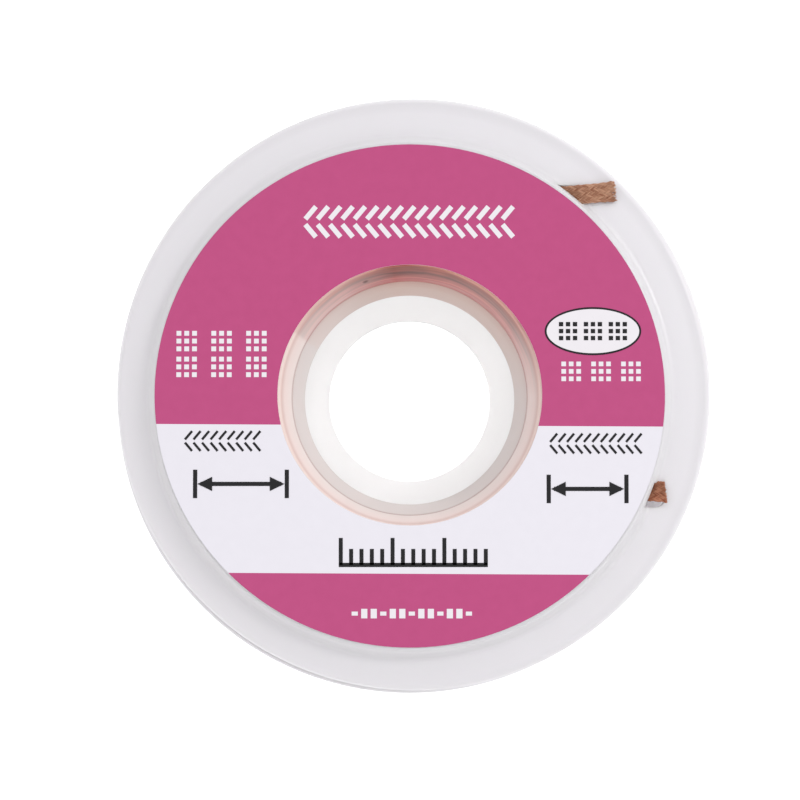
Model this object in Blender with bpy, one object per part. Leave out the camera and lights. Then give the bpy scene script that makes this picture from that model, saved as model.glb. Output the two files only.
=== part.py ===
"""A spool of desoldering braid, lying on its back with the label up.

Two moulded flanges plug together at the hub. Each has a raised middle and a lower outer ring, and the front one
has two windows at the foot of its step: the free end of the braid comes out of one, its inner end shows in the
other. Metres, +Z up through the bore, origin at the centre of the rear face.
"""

import math

import bmesh
import bpy
from mathutils import Matrix, Vector

MM = 0.001

# Facets round every turned piece
SEGMENTS = 96

# Spool, both flanges
SPOOL_HEIGHT = 10.0 * MM
RIM_RADIUS = 30.0 * MM
RING_WIDTH = 4.1 * MM
PLATE_WALL = 1.2 * MM
RING_WALL = 1.1 * MM
STEP_WALL = 1.05 * MM
STEP_HEIGHT = 1.4 * MM
STEP_DRAFT = 0.25 * MM
RING_DROP = 0.4 * MM
RIM_ROUNDING = 0.35 * MM
PLATEAU_ROUNDING = 0.25 * MM

# Hub and bore
HUB_RADIUS = 14.0 * MM
BORE_MOUTH_RADIUS = 13.15 * MM
BORE_WAIST_RADIUS = 11.85 * MM
BORE_FLOOR_RADIUS = 10.75 * MM
HOLE_RADIUS = 8.3 * MM
WAIST_DEPTH = 3.8 * MM
LINER_WALL = 0.9 * MM
WEB_WALL = 1.0 * MM
WEB_DISH = 2.0 * MM
WEB_REST_WIDTH = 0.85 * MM

# Plug joint between the two halves of the hub
JOINT_CLEARANCE = 0.1 * MM
SPIGOT_RADIUS = 12.75 * MM
SPIGOT_LENGTH = 1.2 * MM
SOCKET_FLOOR_WALL = 1.1 * MM

# Braid
BRAID_WIDTH = 2.0 * MM
BRAID_THICKNESS = 0.5 * MM
BRAID_CLEARANCE = 0.2 * MM
LAYERS = 5
LAYER_PITCH = 0.7 * MM
TURN_GROOVE = 0.25 * MM
LAYER_GROOVE = 0.15 * MM

# Windows at the foot of the step, square to the X axis
WINDOW_WIDTH = 2.6 * MM
WINDOW_CORNER = 0.5 * MM
WINDOW_INNER_MARGIN = 2.2 * MM
WINDOW_RIM_LAND = 1.9 * MM
WINDOW_SKIN = 0.8 * MM

# Angles round the plateau's edge where the two ends of the braid cross it, and what shows of them
TAIL_ANGLE = 52.0
TAIL_REACH = 4.7 * MM
TAIL_LEAVES_COIL = 108.0
TAIL_ON_COIL = 42.0
START_ANGLE = -21.65
START_REACH = 1.3 * MM
START_WINDOW_OFFSET = -0.2 * MM

# Label
LABEL_EDGE_MARGIN = 0.45 * MM
LABEL_BORE_MARGIN = 0.05 * MM
LABEL_THICKNESS = 0.15 * MM
ADHESIVE = 0.05 * MM

# What follows from these
PLATEAU_RADIUS = RIM_RADIUS - RING_WIDTH
WAIST_Z = SPOOL_HEIGHT - WAIST_DEPTH
RING_FOOT_Z = SPOOL_HEIGHT - STEP_HEIGHT
PLATE_UNDERSIDE_Z = SPOOL_HEIGHT - PLATE_WALL
STEP_FOOT_RADIUS = PLATEAU_RADIUS + STEP_DRAFT
INNER_FOOT_RADIUS = STEP_FOOT_RADIUS - STEP_WALL
INNER_STEP_RADIUS = PLATEAU_RADIUS - STEP_WALL
SOCKET_RADIUS = SPIGOT_RADIUS + JOINT_CLEARANCE
SOCKET_FLOOR_Z = WAIST_Z - JOINT_CLEARANCE
BORE_FLOOR_Z = WEB_WALL + WEB_DISH
SLEEVE_SHOULDER_Z = WAIST_Z + SPIGOT_LENGTH
COIL_RADIUS = HUB_RADIUS + BRAID_CLEARANCE
COIL_OUTER_RADIUS = COIL_RADIUS + LAYERS * LAYER_PITCH
COIL_BOTTOM_Z = PLATE_WALL + BRAID_CLEARANCE
COIL_TOP_Z = PLATE_UNDERSIDE_Z - BRAID_THICKNESS - 1.5 * BRAID_CLEARANCE
TURNS_ACROSS = int((COIL_TOP_Z - COIL_BOTTOM_Z) / BRAID_WIDTH)
TURN_PITCH = (COIL_TOP_Z - COIL_BOTTOM_Z) / TURNS_ACROSS
TAIL_Y = PLATEAU_RADIUS * math.sin(math.radians(TAIL_ANGLE))
START_Y = PLATEAU_RADIUS * math.sin(math.radians(START_ANGLE))


def clear_scene():
    for obj in list(bpy.data.objects):
        bpy.data.objects.remove(obj)


def surface(name, colour, roughness, metallic=0.0, coat=0.0):
    material = bpy.data.materials.new(name)
    material.use_nodes = True
    shader = material.node_tree.nodes["Principled BSDF"]
    shader.inputs["Base Color"].default_value = (*colour, 1.0)
    shader.inputs["Roughness"].default_value = roughness
    shader.inputs["Metallic"].default_value = metallic
    shader.inputs["Coat Weight"].default_value = coat
    return material


def finish(name, mesh_data, material, rounded_above=40):
    """Makes an object of a bmesh: normals out, smooth except at real edges."""
    bmesh.ops.recalc_face_normals(mesh_data, faces=mesh_data.faces)
    mesh = bpy.data.meshes.new(name)
    mesh_data.to_mesh(mesh)
    mesh_data.free()
    mesh.shade_smooth()
    mesh.set_sharp_from_angle(angle=math.radians(rounded_above))
    obj = bpy.data.objects.new(name, mesh)
    obj.data.materials.append(material)
    bpy.context.scene.collection.objects.link(obj)
    return obj


def fillet(before, corner, after, radius, steps=3):
    """Points of an arc of this radius that rounds the corner between its two neighbours."""
    into = (Vector(before) - Vector(corner)).normalized()
    out = (Vector(after) - Vector(corner)).normalized()
    half_angle = into.angle(out) / 2
    reach = radius / math.tan(half_angle)
    centre = Vector(corner) + (into + out).normalized() * radius / math.sin(half_angle)
    start = (Vector(corner) + into * reach - centre).normalized()
    end = (Vector(corner) + out * reach - centre).normalized()
    return [centre + start.slerp(end, step / steps) * radius for step in range(steps + 1)]


def rounded(corners):
    """A closed outline from (radius, height, rounding) corners; a rounding of zero leaves the corner sharp."""
    points = []
    for index, (x, z, rounding) in enumerate(corners):
        if rounding:
            before = corners[index - 1][:2]
            after = corners[(index + 1) % len(corners)][:2]
            points.extend(fillet(before, (x, z), after, rounding))
        else:
            points.append(Vector((x, z)))
    return points


def turned(name, outline, material):
    """Spins a closed outline of (radius, height) points round the Z axis."""
    shape = bmesh.new()
    verts = [shape.verts.new((radius, 0, height)) for radius, height in outline]
    edges = [shape.edges.new((verts[i - 1], verts[i])) for i in range(len(verts))]
    bmesh.ops.spin(
        shape, geom=verts + edges, cent=(0, 0, 0), axis=(0, 0, 1), angle=math.tau, steps=SEGMENTS, use_merge=True
    )
    bmesh.ops.remove_doubles(shape, verts=shape.verts, dist=MM / 1000)
    return finish(name, shape, material)


def window_cutter(name, centre_y, tool_material):
    """A tall block with rounded corners that opens the foot of the step, and leaves the plateau's skin."""
    half = WINDOW_WIDTH / 2
    edge_x = plateau_edge(centre_y)
    low_x = edge_x - WINDOW_INNER_MARGIN * PLATEAU_RADIUS / edge_x
    high_x = math.sqrt((RIM_RADIUS - WINDOW_RIM_LAND) ** 2 - (abs(centre_y) + half) ** 2)
    top = SPOOL_HEIGHT - WINDOW_SKIN
    bottom = RING_FOOT_Z - RING_DROP - 2 * RING_WALL
    corners = [
        (low_x, centre_y - half, 0),
        (high_x, centre_y - half, WINDOW_CORNER),
        (high_x, centre_y + half, WINDOW_CORNER),
        (low_x, centre_y + half, 0),
    ]
    block = bmesh.new()
    face = block.faces.new([block.verts.new((x, y, bottom)) for x, y in rounded(corners)])
    made = bmesh.ops.extrude_face_region(block, geom=[face])["geom"]
    lifted = [part for part in made if isinstance(part, bmesh.types.BMVert)]
    bmesh.ops.translate(block, verts=lifted, vec=(0, 0, top - bottom))
    cutter = finish(name, block, tool_material)
    cutter.hide_render = True
    cutter.display_type = "WIRE"
    return cutter


def plateau_edge(y):
    """Where the plateau's edge is at this Y, on the right of the spool."""
    return math.sqrt(PLATEAU_RADIUS**2 - y**2)


def front_flange(plastic):
    ring_top = RING_FOOT_Z - RING_DROP
    outline = rounded(
        [
            (BORE_MOUTH_RADIUS, SPOOL_HEIGHT, PLATEAU_ROUNDING),
            (PLATEAU_RADIUS, SPOOL_HEIGHT, PLATEAU_ROUNDING),
            (STEP_FOOT_RADIUS, RING_FOOT_Z, 0),
            (RIM_RADIUS, ring_top, RIM_ROUNDING),
            (RIM_RADIUS, ring_top - RING_WALL, RIM_ROUNDING),
            (INNER_FOOT_RADIUS, RING_FOOT_Z - RING_WALL, 0),
            (INNER_STEP_RADIUS, PLATE_UNDERSIDE_Z, 0),
            (HUB_RADIUS, PLATE_UNDERSIDE_Z, 0),
            (HUB_RADIUS, SLEEVE_SHOULDER_Z, 0),
            (SPIGOT_RADIUS, SLEEVE_SHOULDER_Z, 0),
            (SPIGOT_RADIUS, WAIST_Z, 0),
            (BORE_WAIST_RADIUS, WAIST_Z, 0),
        ]
    )
    flange = turned("front_flange", outline, plastic)
    for name, centre_y in (("exit_window_cutter", TAIL_Y), ("start_window_cutter", START_Y + START_WINDOW_OFFSET)):
        cut = flange.modifiers.new(name, "BOOLEAN")
        cut.object = window_cutter(name, centre_y, plastic)
        cut.operation = "DIFFERENCE"
    return flange


def rear_flange(plastic):
    """The back half. Its hub is cored out from behind, so that the liner, the dished web and the tube stay even."""
    ring_top = STEP_HEIGHT + RING_DROP
    core_top = SOCKET_FLOOR_Z - SOCKET_FLOOR_WALL
    taper = (BORE_WAIST_RADIUS - BORE_FLOOR_RADIUS) / (SOCKET_FLOOR_Z - BORE_FLOOR_Z)
    core_low = BORE_FLOOR_Z - WEB_WALL
    outline = rounded(
        [
            (HOLE_RADIUS, 0, PLATEAU_ROUNDING),
            (HOLE_RADIUS + WEB_REST_WIDTH, 0, 0),
            (BORE_FLOOR_RADIUS + LINER_WALL - WEB_WALL * taper, core_low, 0),
            (BORE_WAIST_RADIUS + LINER_WALL - SOCKET_FLOOR_WALL * taper, core_top, 0),
            (HUB_RADIUS - LINER_WALL, core_top, 0),
            (HUB_RADIUS - LINER_WALL, 0, 0),
            (PLATEAU_RADIUS, 0, PLATEAU_ROUNDING),
            (STEP_FOOT_RADIUS, STEP_HEIGHT, 0),
            (RIM_RADIUS, ring_top, RIM_ROUNDING),
            (RIM_RADIUS, ring_top + RING_WALL, RIM_ROUNDING),
            (INNER_FOOT_RADIUS, STEP_HEIGHT + RING_WALL, 0),
            (INNER_STEP_RADIUS, PLATE_WALL, 0),
            (HUB_RADIUS, PLATE_WALL, 0),
            (HUB_RADIUS, SLEEVE_SHOULDER_Z - JOINT_CLEARANCE, 0),
            (SOCKET_RADIUS, SLEEVE_SHOULDER_Z - JOINT_CLEARANCE, 0),
            (SOCKET_RADIUS, SOCKET_FLOOR_Z, 0),
            (BORE_WAIST_RADIUS, SOCKET_FLOOR_Z, 0),
            (BORE_FLOOR_RADIUS, BORE_FLOOR_Z, 0),
            (HOLE_RADIUS, WEB_WALL, PLATEAU_ROUNDING),
        ]
    )
    return turned("rear_flange", outline, plastic)


def braid_coil(copper):
    """The wound braid as one ring: grooves between its turns outside, and between its layers on both ends."""
    outline = [Vector((COIL_RADIUS, COIL_BOTTOM_Z + LAYER_GROOVE))]
    for layer in range(LAYERS):
        inner = COIL_RADIUS + layer * LAYER_PITCH
        outline.append(Vector((inner + LAYER_PITCH / 2, COIL_BOTTOM_Z)))
        outline.append(Vector((inner + LAYER_PITCH, COIL_BOTTOM_Z + LAYER_GROOVE)))
    for turn in range(TURNS_ACROSS):
        low = COIL_BOTTOM_Z + turn * TURN_PITCH
        edge = (TURN_PITCH - BRAID_WIDTH) / 2 + TURN_GROOVE
        outline.append(Vector((COIL_OUTER_RADIUS, low + edge)))
        outline.append(Vector((COIL_OUTER_RADIUS, low + TURN_PITCH - edge)))
        if turn < TURNS_ACROSS - 1:
            outline.append(Vector((COIL_OUTER_RADIUS - TURN_GROOVE, low + TURN_PITCH)))
    for layer in reversed(range(LAYERS)):
        inner = COIL_RADIUS + layer * LAYER_PITCH
        outline.append(Vector((inner + LAYER_PITCH, COIL_TOP_Z - LAYER_GROOVE)))
        outline.append(Vector((inner + LAYER_PITCH / 2, COIL_TOP_Z)))
    outline.append(Vector((COIL_RADIUS, COIL_TOP_Z - LAYER_GROOVE)))
    return turned("braid_coil", outline, copper)


def braid_section():
    """Cross-section of the flat braid: across its width, and through its thickness."""
    half_width, half_thick = BRAID_WIDTH / 2, BRAID_THICKNESS / 2
    shoulder = half_width - half_thick
    return [
        (-half_width, 0),
        (-shoulder, -half_thick),
        (shoulder, -half_thick),
        (half_width, 0),
        (shoulder, half_thick),
        (-shoulder, half_thick),
    ]


def braid_run(name, stations, copper):
    """A length of braid through stations of (x, y, z, lean): lean 0 stands it on edge, 90 lays it flat."""
    places = [Vector(station[:3]) for station in stations]
    shape = bmesh.new()
    loops = []
    for index, place in enumerate(places):
        ahead = places[min(index + 1, len(places) - 1)] - places[max(index - 1, 0)]
        side = Vector((0, 0, 1)).cross(ahead).normalized()
        upright = ahead.cross(side).normalized()
        lean = Matrix.Rotation(math.radians(stations[index][3]), 3, ahead.normalized())
        across, through = lean @ upright, lean @ side
        ring = [shape.verts.new(place + across * a + through * t) for a, t in braid_section()]
        loops.append([shape.edges.new((ring[i - 1], ring[i])) for i in range(len(ring))])
    for one, other in zip(loops, loops[1:]):
        bmesh.ops.bridge_loops(shape, edges=one + other)
    for end in (loops[0], loops[-1]):
        bmesh.ops.contextual_create(shape, geom=end)
    return finish(name, shape, copper, rounded_above=60)


def round_coil(angle, radius, height):
    """A point at this angle, radius and height."""
    return Vector((radius * math.cos(math.radians(angle)), radius * math.sin(math.radians(angle)), height))


def bridged(start, leaving, end, arriving, share):
    """A point on the smooth curve between two points, with its direction given at both."""
    one = start + leaving
    other = end - arriving
    rest = 1 - share
    return rest**3 * start + 3 * rest**2 * share * one + 3 * rest * share**2 * other + share**3 * end


def braid_tail(copper):
    """The free end: off the top turn, over on its side, out of the exit window and along the ring."""
    lift = BRAID_THICKNESS / 2 + BRAID_CLEARANCE
    top_turn = COIL_TOP_Z - TURN_PITCH / 2
    under_plate = PLATE_UNDERSIDE_Z - lift
    under_lip = (RING_FOOT_Z + SPOOL_HEIGHT - WINDOW_SKIN) / 2
    edge_x = plateau_edge(TAIL_Y)
    lying = COIL_OUTER_RADIUS + lift
    turns = [TAIL_LEAVES_COIL + TAIL_ON_COIL * (1 - share / 4) for share in range(4)]
    stations = [(*round_coil(angle, lying, top_turn), 0) for angle in turns]
    off_coil = round_coil(TAIL_LEAVES_COIL, lying, top_turn)
    at_window = Vector((edge_x - WINDOW_INNER_MARGIN, TAIL_Y, under_plate - BRAID_CLEARANCE / 2))
    reach = (at_window - off_coil).length / 3
    leaving = round_coil(TAIL_LEAVES_COIL - 90, reach, 0)
    arriving = Vector((reach, 0, 0))
    for step in range(9):
        share = step / 8
        point = bridged(off_coil, leaving, at_window, arriving, share)
        stations.append((*point, 90 * (3 - 2 * share) * share**2))
    clear_x = plateau_edge(TAIL_Y - BRAID_WIDTH / 2)
    stations.append((edge_x, TAIL_Y, (under_plate + under_lip) / 2, 90))
    stations.append((clear_x, TAIL_Y, under_lip, 90))
    stations.append((clear_x + BRAID_THICKNESS, TAIL_Y, under_lip, 90))
    stations.append((edge_x + TAIL_REACH, TAIL_Y, under_lip - BRAID_CLEARANCE, 90))
    return braid_run("braid_tail", stations, copper)


def braid_start(copper):
    """The inner end: from the hub over the coil's top face into the start window."""
    over_coil = (COIL_TOP_Z + PLATE_UNDERSIDE_Z) / 2
    hub_x = math.sqrt(COIL_RADIUS**2 - START_Y**2)
    end_x = plateau_edge(START_Y) + START_REACH
    stations = [
        (hub_x + BRAID_WIDTH / 2, START_Y, over_coil, 90),
        (COIL_OUTER_RADIUS, START_Y, over_coil, 90),
        (end_x - START_REACH, START_Y, over_coil, 90),
        (end_x, START_Y, over_coil + BRAID_CLEARANCE / 2, 90),
    ]
    return braid_run("braid_start", stations, copper)


def label(paper):
    low = SPOOL_HEIGHT + ADHESIVE
    high = low + LABEL_THICKNESS
    inner = BORE_MOUTH_RADIUS + LABEL_BORE_MARGIN
    outer = PLATEAU_RADIUS - LABEL_EDGE_MARGIN
    outline = [Vector((inner, low)), Vector((outer, low)), Vector((outer, high)), Vector((inner, high))]
    return turned("label", outline, paper)


def main():
    clear_scene()
    milky_plastic = surface("milky_polypropylene", (0.80, 0.79, 0.82), 0.38)
    copper = surface("copper_braid", (0.55, 0.24, 0.15), 0.42, metallic=1.0)
    paper = surface("printed_label", (0.55, 0.10, 0.25), 0.30, coat=0.3)
    front_flange(milky_plastic)
    rear_flange(milky_plastic)
    braid_coil(copper)
    braid_tail(copper)
    braid_start(copper)
    label(paper)


main()
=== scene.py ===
# %% [markdown]
# # A spool of desoldering braid
# The object is a flat spool, 60 mm across, moulded in two halves from milky polypropylene. A label
# lies on its raised front disc, and flat copper braid is wound inside. Both ends of the braid come
# out of small windows. The lesson builds the spool first, then the braid and the label, and last
# the floor, the lights and the camera.

import math
import random

import bmesh
import bpy
from mathutils import Matrix, Vector


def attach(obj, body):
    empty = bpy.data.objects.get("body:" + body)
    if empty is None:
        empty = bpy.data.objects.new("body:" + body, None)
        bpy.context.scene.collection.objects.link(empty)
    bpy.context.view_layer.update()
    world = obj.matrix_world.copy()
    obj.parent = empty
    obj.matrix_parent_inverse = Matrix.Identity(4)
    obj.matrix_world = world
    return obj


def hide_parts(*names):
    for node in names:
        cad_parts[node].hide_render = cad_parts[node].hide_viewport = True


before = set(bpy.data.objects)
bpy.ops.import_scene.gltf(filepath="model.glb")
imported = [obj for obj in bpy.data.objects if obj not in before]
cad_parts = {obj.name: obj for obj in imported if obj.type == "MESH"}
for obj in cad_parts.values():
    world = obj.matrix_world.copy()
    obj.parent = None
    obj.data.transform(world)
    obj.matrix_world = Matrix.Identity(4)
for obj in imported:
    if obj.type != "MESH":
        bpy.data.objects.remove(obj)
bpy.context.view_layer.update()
MM = 0.001
print("nodes:", sorted(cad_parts))

# %% [markdown]
# ## Helpers for materials
# Colours are easiest to read off a photograph as sRGB hex, but shaders work in linear light, so one
# function turns one into the other. A second function adds a node with its settings and links in
# one call. That keeps each material below short enough to read from top to bottom.

# %% Colour and node helpers
def linear(colour):
    """Linear RGBA from an sRGB hex colour such as #C45889."""
    channels = [int(colour[i : i + 2], 16) / 255 for i in (1, 3, 5)]
    return [c / 12.92 if c <= 0.04045 else ((c + 0.055) / 1.055) ** 2.4 for c in channels] + [1]


def add(material, kind, links=None, values=None, **settings):
    """Adds a node. Links and values are keyed by the name or number of the input they go to."""
    tree = material.node_tree
    node = tree.nodes.new(kind)
    for name, setting in settings.items():
        setattr(node, name, setting)
    for name, value in (values or {}).items():
        node.inputs[name].default_value = value
    for name, socket in (links or {}).items():
        tree.links.new(socket, node.inputs[name])
    return node


def blank(name):
    """A material with an empty node tree."""
    material = bpy.data.materials.new(name)
    material.use_nodes = True
    material.node_tree.nodes.clear()
    return material


def fill_ramp(ramp, stops):
    """Sets the stops of a colour ramp from (position, hex colour) pairs."""
    elements = ramp.color_ramp.elements
    while len(elements) < len(stops):
        elements.new(0.5)
    for element, (position, colour) in zip(elements, stops):
        element.position = position
        element.color = linear(colour)


print("mid grey #808080 in linear light:", round(linear("#808080")[0], 3))

# %% [markdown]
# ## Milky polypropylene
# Spools like this are injection moulded in natural polypropylene. It isn't white: light goes a few
# millimetres into it before it comes back, so shadows and edges on it are soft. Subsurface
# scattering with a scale of 0.7 mm gives that, and a little rough transmission adds a hint of what
# is behind. The mould leaves a satin face with a fine grain. A ramp by radius changes the colour a
# little: it is painted shade at the edge of the disc and the foot of the step, and painted shade
# towards the rim's edge. The web in the hub is thinner than the rest, and most of the light goes
# through it.

# %% Material: milky polypropylene
PLASTIC_IOR = 1.49
FLOW_SCALE = 160.0  # satin patches of about 6 mm, where the melt flowed
GRAIN_SCALE = 9000.0  # grain of about 0.1 mm
GRAIN_DEPTH = 0.05
ROUGHNESS_SPREAD = 0.05
TONE_STARTS = 24.0
TONE_ENDS = 30.0
# Painted shade: the dark stops at 0.27 and 0.34 darken the edge of the disc and the step, and the last
# stop darkens the rim's edge.
TONE_AND_SHADE_BY_RADIUS = [
    (0.22, "#EAE8EB"),
    (0.27, "#DAD8DB"),
    (0.34, "#E0DEE1"),
    (0.42, "#E9E7EA"),
    (0.80, "#E8E6E9"),
    (0.97, "#E0DEE1"),
]
EVEN_TONE = [(0.0, "#F1F0F0"), (1.0, "#F1F0F0")]


def make_polypropylene(name, tones, scatter_mm, roughness, clearness, grain_strength):
    """Milky plastic, its tones and painted shade by radius. Clearness is the share of light that passes
    through.
    """
    material = blank(name)
    place = add(material, "ShaderNodeTexCoord").outputs["Object"]
    flow = add(material, "ShaderNodeTexNoise", {"Vector": place}, {"Scale": FLOW_SCALE, "Detail": 3.0})
    grain = add(material, "ShaderNodeTexNoise", {"Vector": place}, {"Scale": GRAIN_SCALE, "Detail": 2.0})
    satin = add(
        material,
        "ShaderNodeMapRange",
        {"Value": flow.outputs["Fac"]},
        {
            "From Min": 0.3,
            "From Max": 0.7,
            "To Min": roughness - ROUGHNESS_SPREAD,
            "To Max": roughness + ROUGHNESS_SPREAD,
        },
    )
    bump = add(
        material,
        "ShaderNodeBump",
        {"Height": grain.outputs["Fac"]},
        {"Strength": grain_strength, "Distance": GRAIN_DEPTH * MM},
    )
    flat = add(material, "ShaderNodeVectorMath", {0: place}, {1: (1, 1, 0)}, operation="MULTIPLY")
    radius = add(material, "ShaderNodeVectorMath", {0: flat.outputs["Vector"]}, operation="LENGTH")
    outward = add(
        material,
        "ShaderNodeMapRange",
        {"Value": radius.outputs["Value"]},
        {"From Min": TONE_STARTS * MM, "From Max": TONE_ENDS * MM},
    )
    # This ramp paints shade into the colour by radius.
    tone = add(material, "ShaderNodeValToRGB", {"Fac": outward.outputs["Result"]})
    fill_ramp(tone, tones)
    shader = add(
        material,
        "ShaderNodeBsdfPrincipled",
        {
            "Base Color": tone.outputs["Color"],
            "Roughness": satin.outputs["Result"],
            "Normal": bump.outputs["Normal"],
        },
        {
            "IOR": PLASTIC_IOR,
            "Transmission Weight": clearness,
            "Subsurface Weight": 1.0,
            "Subsurface Radius": (1.0, 0.97, 1.0),
            "Subsurface Scale": scatter_mm * MM,
        },
    )
    add(material, "ShaderNodeOutputMaterial", {"Surface": shader.outputs["BSDF"]})
    return material


polypropylene = make_polypropylene(
    "milky_polypropylene_textured",
    TONE_AND_SHADE_BY_RADIUS,
    scatter_mm=0.7,
    roughness=0.36,
    clearness=0.12,
    grain_strength=0.12,
)
thin_polypropylene = make_polypropylene(
    "milky_polypropylene_thin",
    EVEN_TONE,
    scatter_mm=0.8,
    roughness=0.36,
    clearness=0.75,
    grain_strength=0.02,
)
print("materials:", polypropylene.name, thin_polypropylene.name)

# %% [markdown]
# ## Copper seen through the hub
# The wall of the bore was formed on a polished pin and is clearer than the rest, and the braid is
# packed right behind it. So it looks copper-coloured, in streaks that follow the turns. True
# see-through plastic would show them only after thousands of samples, so the streaks are drawn in
# the wall's own colour. A ramp by height gives the bands, noise that is stretched round the bore
# waves them, and a mask by angle leaves the lower left side pale and the right and upper side copper.
# That split is partly painted light: the pale side faces the key panel and is painted lit, and the
# copper side is turned away from it and painted darker, as painted shade. On the mask's ramp, white
# is full copper and the start and end are the -X side. One dark fleck of flux is stuck behind the
# wall at the upper left.

# %% Material: clear wall over copper
STREAK_SCALE = (110, 110, 900)  # streaks about 9 mm long and 1 mm high
FLECK = (-4.45 * MM, 11.6 * MM, 8.1 * MM)
FLECK_CORE = 0.15
FLECK_EDGE = 0.4
# Painted light and shade by angle: the pale side faces the key panel, and the copper side, turned away
# from it, is painted darker.
COPPER_AND_SHADE_BY_ANGLE = [
    (0.33, "#000000"),
    (0.42, "#202020"),
    (0.5, "#606060"),
    (0.6, "#D8D8D8"),
    (0.77, "#FFFFFF"),
    (0.84, "#C4C4C4"),
    (0.917, "#949494"),
    (0.923, "#000000"),
]


def make_bore_wall(name, low, high, pale, copper, wave):
    """A clear wall between two heights in millimetres, with its pale and its copper bands; the mask by
    angle paints the lit side pale and the shaded side copper and darker.
    """
    material = blank(name)
    place = add(material, "ShaderNodeTexCoord").outputs["Object"]
    split = add(material, "ShaderNodeSeparateXYZ", {0: place})
    height = add(
        material,
        "ShaderNodeMapRange",
        {"Value": split.outputs["Z"]},
        {"From Min": low * MM, "From Max": high * MM},
    )
    stretched = add(material, "ShaderNodeMapping", {"Vector": place}, {"Scale": STREAK_SCALE})
    streak = add(
        material,
        "ShaderNodeTexNoise",
        {"Vector": stretched.outputs["Vector"]},
        {"Scale": 1.0, "Detail": 5.0},
    )
    shift = add(
        material,
        "ShaderNodeMapRange",
        {"Value": streak.outputs["Fac"]},
        {"From Min": 0.25, "From Max": 0.75, "To Min": -wave, "To Max": wave},
    )
    waved = add(
        material,
        "ShaderNodeMath",
        {0: height.outputs["Result"], 1: shift.outputs["Result"]},
        operation="ADD",
    )
    pale_bands = add(material, "ShaderNodeValToRGB", {"Fac": height.outputs["Result"]})
    fill_ramp(pale_bands, pale)
    copper_bands = add(material, "ShaderNodeValToRGB", {"Fac": waved.outputs[0]})
    fill_ramp(copper_bands, copper)
    angle = add(
        material,
        "ShaderNodeMath",
        {0: split.outputs["Y"], 1: split.outputs["X"]},
        operation="ARCTAN2",
    )
    around = add(
        material,
        "ShaderNodeMapRange",
        {"Value": angle.outputs[0]},
        {"From Min": -math.pi, "From Max": math.pi},
    )
    # The side facing the key panel is painted pale and lit, and the side turned away is painted copper and
    # darker.
    mask = add(material, "ShaderNodeValToRGB", {"Fac": around.outputs["Result"]})
    fill_ramp(mask, COPPER_AND_SHADE_BY_ANGLE)
    colour = add(
        material,
        "ShaderNodeMix",
        {"Factor": mask.outputs[0], 6: pale_bands.outputs["Color"], 7: copper_bands.outputs["Color"]},
        data_type="RGBA",
    )
    away = add(material, "ShaderNodeVectorMath", {0: place}, {1: FLECK}, operation="DISTANCE")
    fleck = add(
        material,
        "ShaderNodeMapRange",
        {"Value": away.outputs["Value"]},
        {"From Min": FLECK_CORE * MM, "From Max": FLECK_EDGE * MM, "To Min": 0.75, "To Max": 0.0},
    )
    flecked = add(
        material,
        "ShaderNodeMix",
        {"Factor": fleck.outputs["Result"], 6: colour.outputs[2]},
        {7: linear("#4A2C26")},
        data_type="RGBA",
    )
    shader = add(
        material,
        "ShaderNodeBsdfPrincipled",
        {"Base Color": flecked.outputs[2]},
        {
            "IOR": PLASTIC_IOR,
            "Roughness": 0.25,
            "Specular IOR Level": 0.15,
            "Subsurface Weight": 0.4,
            "Subsurface Radius": (1.0, 0.8, 0.8),
            "Subsurface Scale": 0.3 * MM,
        },
    )
    add(material, "ShaderNodeOutputMaterial", {"Surface": shader.outputs["BSDF"]})
    return material


# %% Bands of both walls, from their lower end up
# Painted highlight: the light last stops of both upper ramps draw a highlight along the bore's mouth.
UPPER_PALE = [
    (0.0, "#D6C6C2"),
    (0.06, "#BEA5A1"),
    (0.14, "#E3D6D2"),
    (0.6, "#E0CDC9"),
    (0.8, "#D2B6B0"),
    (0.94, "#E6D2CC"),
]
UPPER_COPPER_AND_HIGHLIGHT = [
    (0.0, "#B86A66"),
    (0.12, "#AC504E"),
    (0.24, "#C26A62"),
    (0.42, "#9E504A"),
    (0.58, "#663530"),
    (0.72, "#874942"),
    (0.86, "#AC5E50"),
    (0.96, "#CC8C7A"),
]
LOWER_PALE = [(0.0, "#D8D1CF"), (1.0, "#D2C9C7")]
LOWER_COPPER = [(0.0, "#D8C4BD"), (0.6, "#D2BBB2"), (1.0, "#C7A69D")]
upper_wall = make_bore_wall(
    "clear_polypropylene_over_copper", 6.2, 10.0, UPPER_PALE, UPPER_COPPER_AND_HIGHLIGHT, wave=0.3
)
lower_wall = make_bore_wall(
    "clear_polypropylene_under_copper", 3.0, 6.1, LOWER_PALE, LOWER_COPPER, wave=0.10
)
print("materials:", upper_wall.name, lower_wall.name)

# %% [markdown]
# ## Turned shapes
# Almost every piece of a spool is round, so each starts as an outline of (radius, height) corners
# in millimetres that is spun about the Z axis. The full spin merges its last step into its first,
# which closes the seam. The outline could come rounded, but it is simpler to spin sharp corners and
# bevel the rings that need it.

# %% Helpers: spin an outline, round a ring
TURN_STEPS = 192
WELD = 0.0001
RING_TOLERANCE = 0.02
ROUNDING_STEPS = 4


def turn(corners):
    """Spins a closed outline of (radius, height) corners, in millimetres, about the Z axis."""
    shape = bmesh.new()
    verts = [shape.verts.new((radius * MM, 0, height * MM)) for radius, height in corners]
    edges = [shape.edges.new((verts[i - 1], verts[i])) for i in range(len(verts))]
    bmesh.ops.spin(
        shape,
        geom=verts + edges,
        cent=(0, 0, 0),
        axis=(0, 0, 1),
        angle=math.tau,
        steps=TURN_STEPS,
        use_merge=True,
    )
    bmesh.ops.remove_doubles(shape, verts=shape.verts, dist=WELD * MM)
    bmesh.ops.recalc_face_normals(shape, faces=shape.faces)
    return shape


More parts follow.
